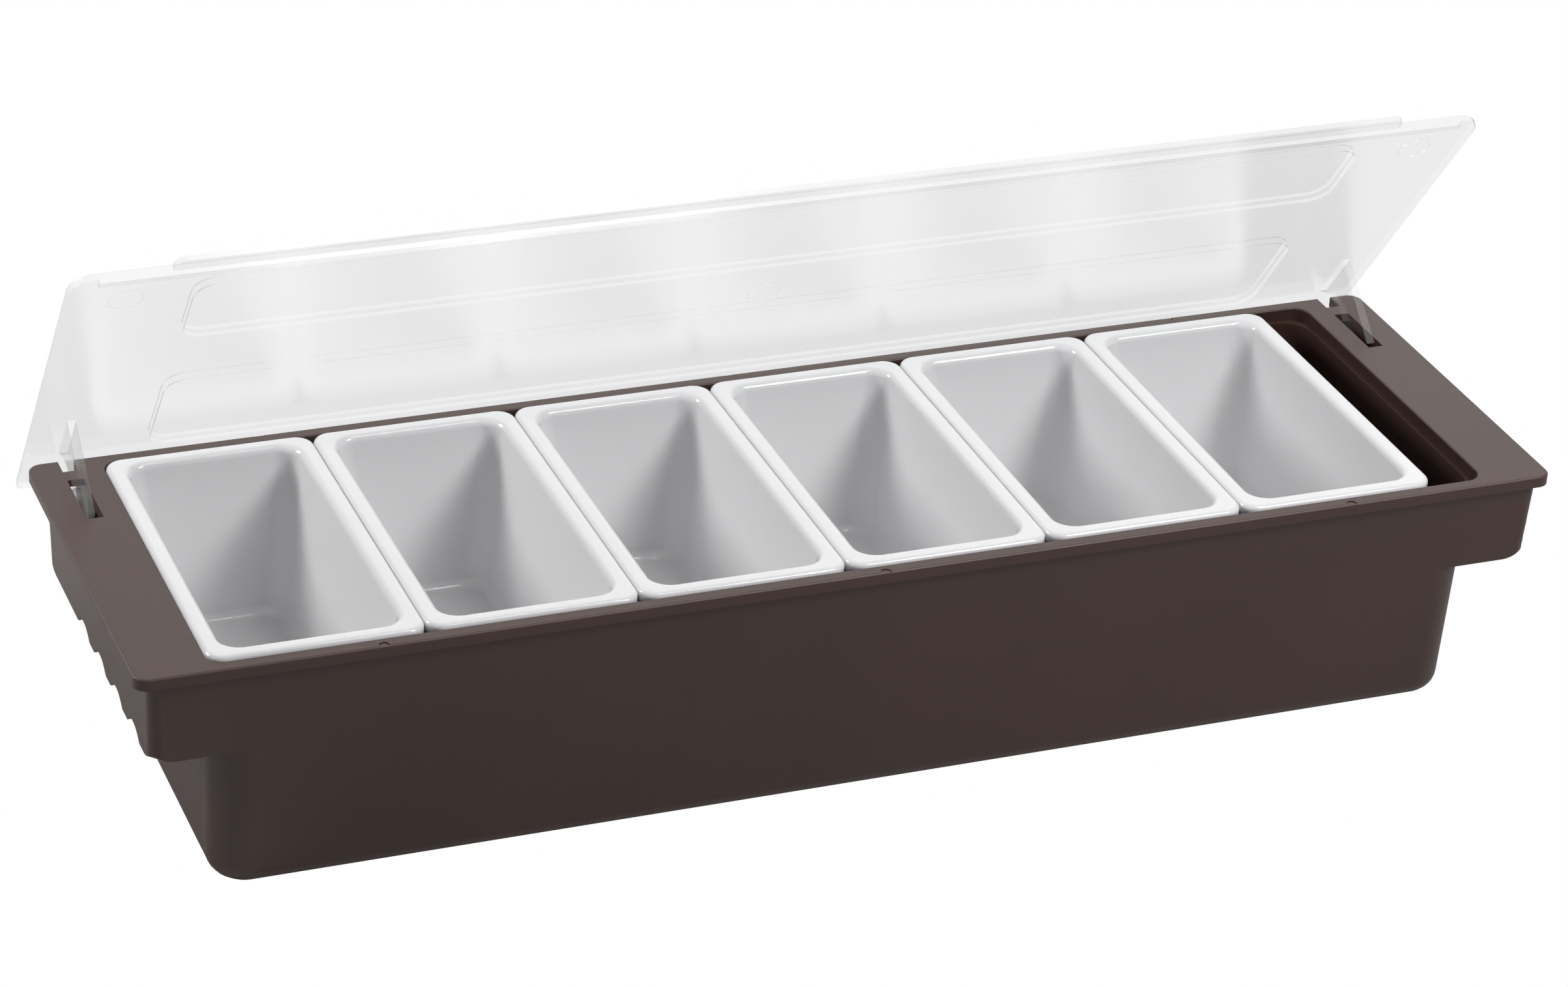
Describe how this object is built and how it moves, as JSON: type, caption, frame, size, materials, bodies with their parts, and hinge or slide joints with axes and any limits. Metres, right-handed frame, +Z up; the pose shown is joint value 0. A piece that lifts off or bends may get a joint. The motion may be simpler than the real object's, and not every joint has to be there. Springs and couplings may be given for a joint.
{
  "type": "bar garnish tray",
  "caption": "Long moulded bar tray with hollow hand-hold wings, a row of lift-out white tubs resting on its deck opening, and a clear lid on moulded hinge arms.",
  "frame": {"origin": "centre of the tray's underside", "axes": "+X along the tray's length, +Y towards the hinge side, +Z up; the clear lid is stored open"},
  "size_m": [0.5005, 0.1649, 0.196],
  "materials": {
    "tray_plastic": "fine matte texture, dark brown",
    "clear_plastic": "clear, polished",
    "white_plastic": "glossy white"
  },
  "bodies": {
    "tray": {"base_tray": "tray_plastic"},
    "lid": {"lid": "clear_plastic"},
    "insert_1": {"insert_1": "white_plastic"},
    "insert_2": {"insert_2": "white_plastic"},
    "insert_3": {"insert_3": "white_plastic"},
    "insert_4": {"insert_4": "white_plastic"},
    "insert_5": {"insert_5": "white_plastic"},
    "insert_6": {"insert_6": "white_plastic"}
  },
  "joints": [
    {"name": "lid_hinge", "type": "hinge", "parent": "tray", "child": "lid", "pos_m": [0, 0.0659, 0.0735], "axis": [-1, 0, 0], "range_deg": [-53, 0]},
    {"name": "insert_1_lift", "type": "slide", "parent": "tray", "child": "insert_1", "axis": [0, 0, 1], "range_m": [0, 0.007]},
    {"name": "insert_2_lift", "type": "slide", "parent": "tray", "child": "insert_2", "axis": [0, 0, 1], "range_m": [0, 0.007]},
    {"name": "insert_3_lift", "type": "slide", "parent": "tray", "child": "insert_3", "axis": [0, 0, 1], "range_m": [0, 0.007]},
    {"name": "insert_4_lift", "type": "slide", "parent": "tray", "child": "insert_4", "axis": [0, 0, 1], "range_m": [0, 0.007]},
    {"name": "insert_5_lift", "type": "slide", "parent": "tray", "child": "insert_5", "axis": [0, 0, 1], "range_m": [0, 0.007]},
    {"name": "insert_6_lift", "type": "slide", "parent": "tray", "child": "insert_6", "axis": [0, 0, 1], "range_m": [0, 0.007]}
  ]
}
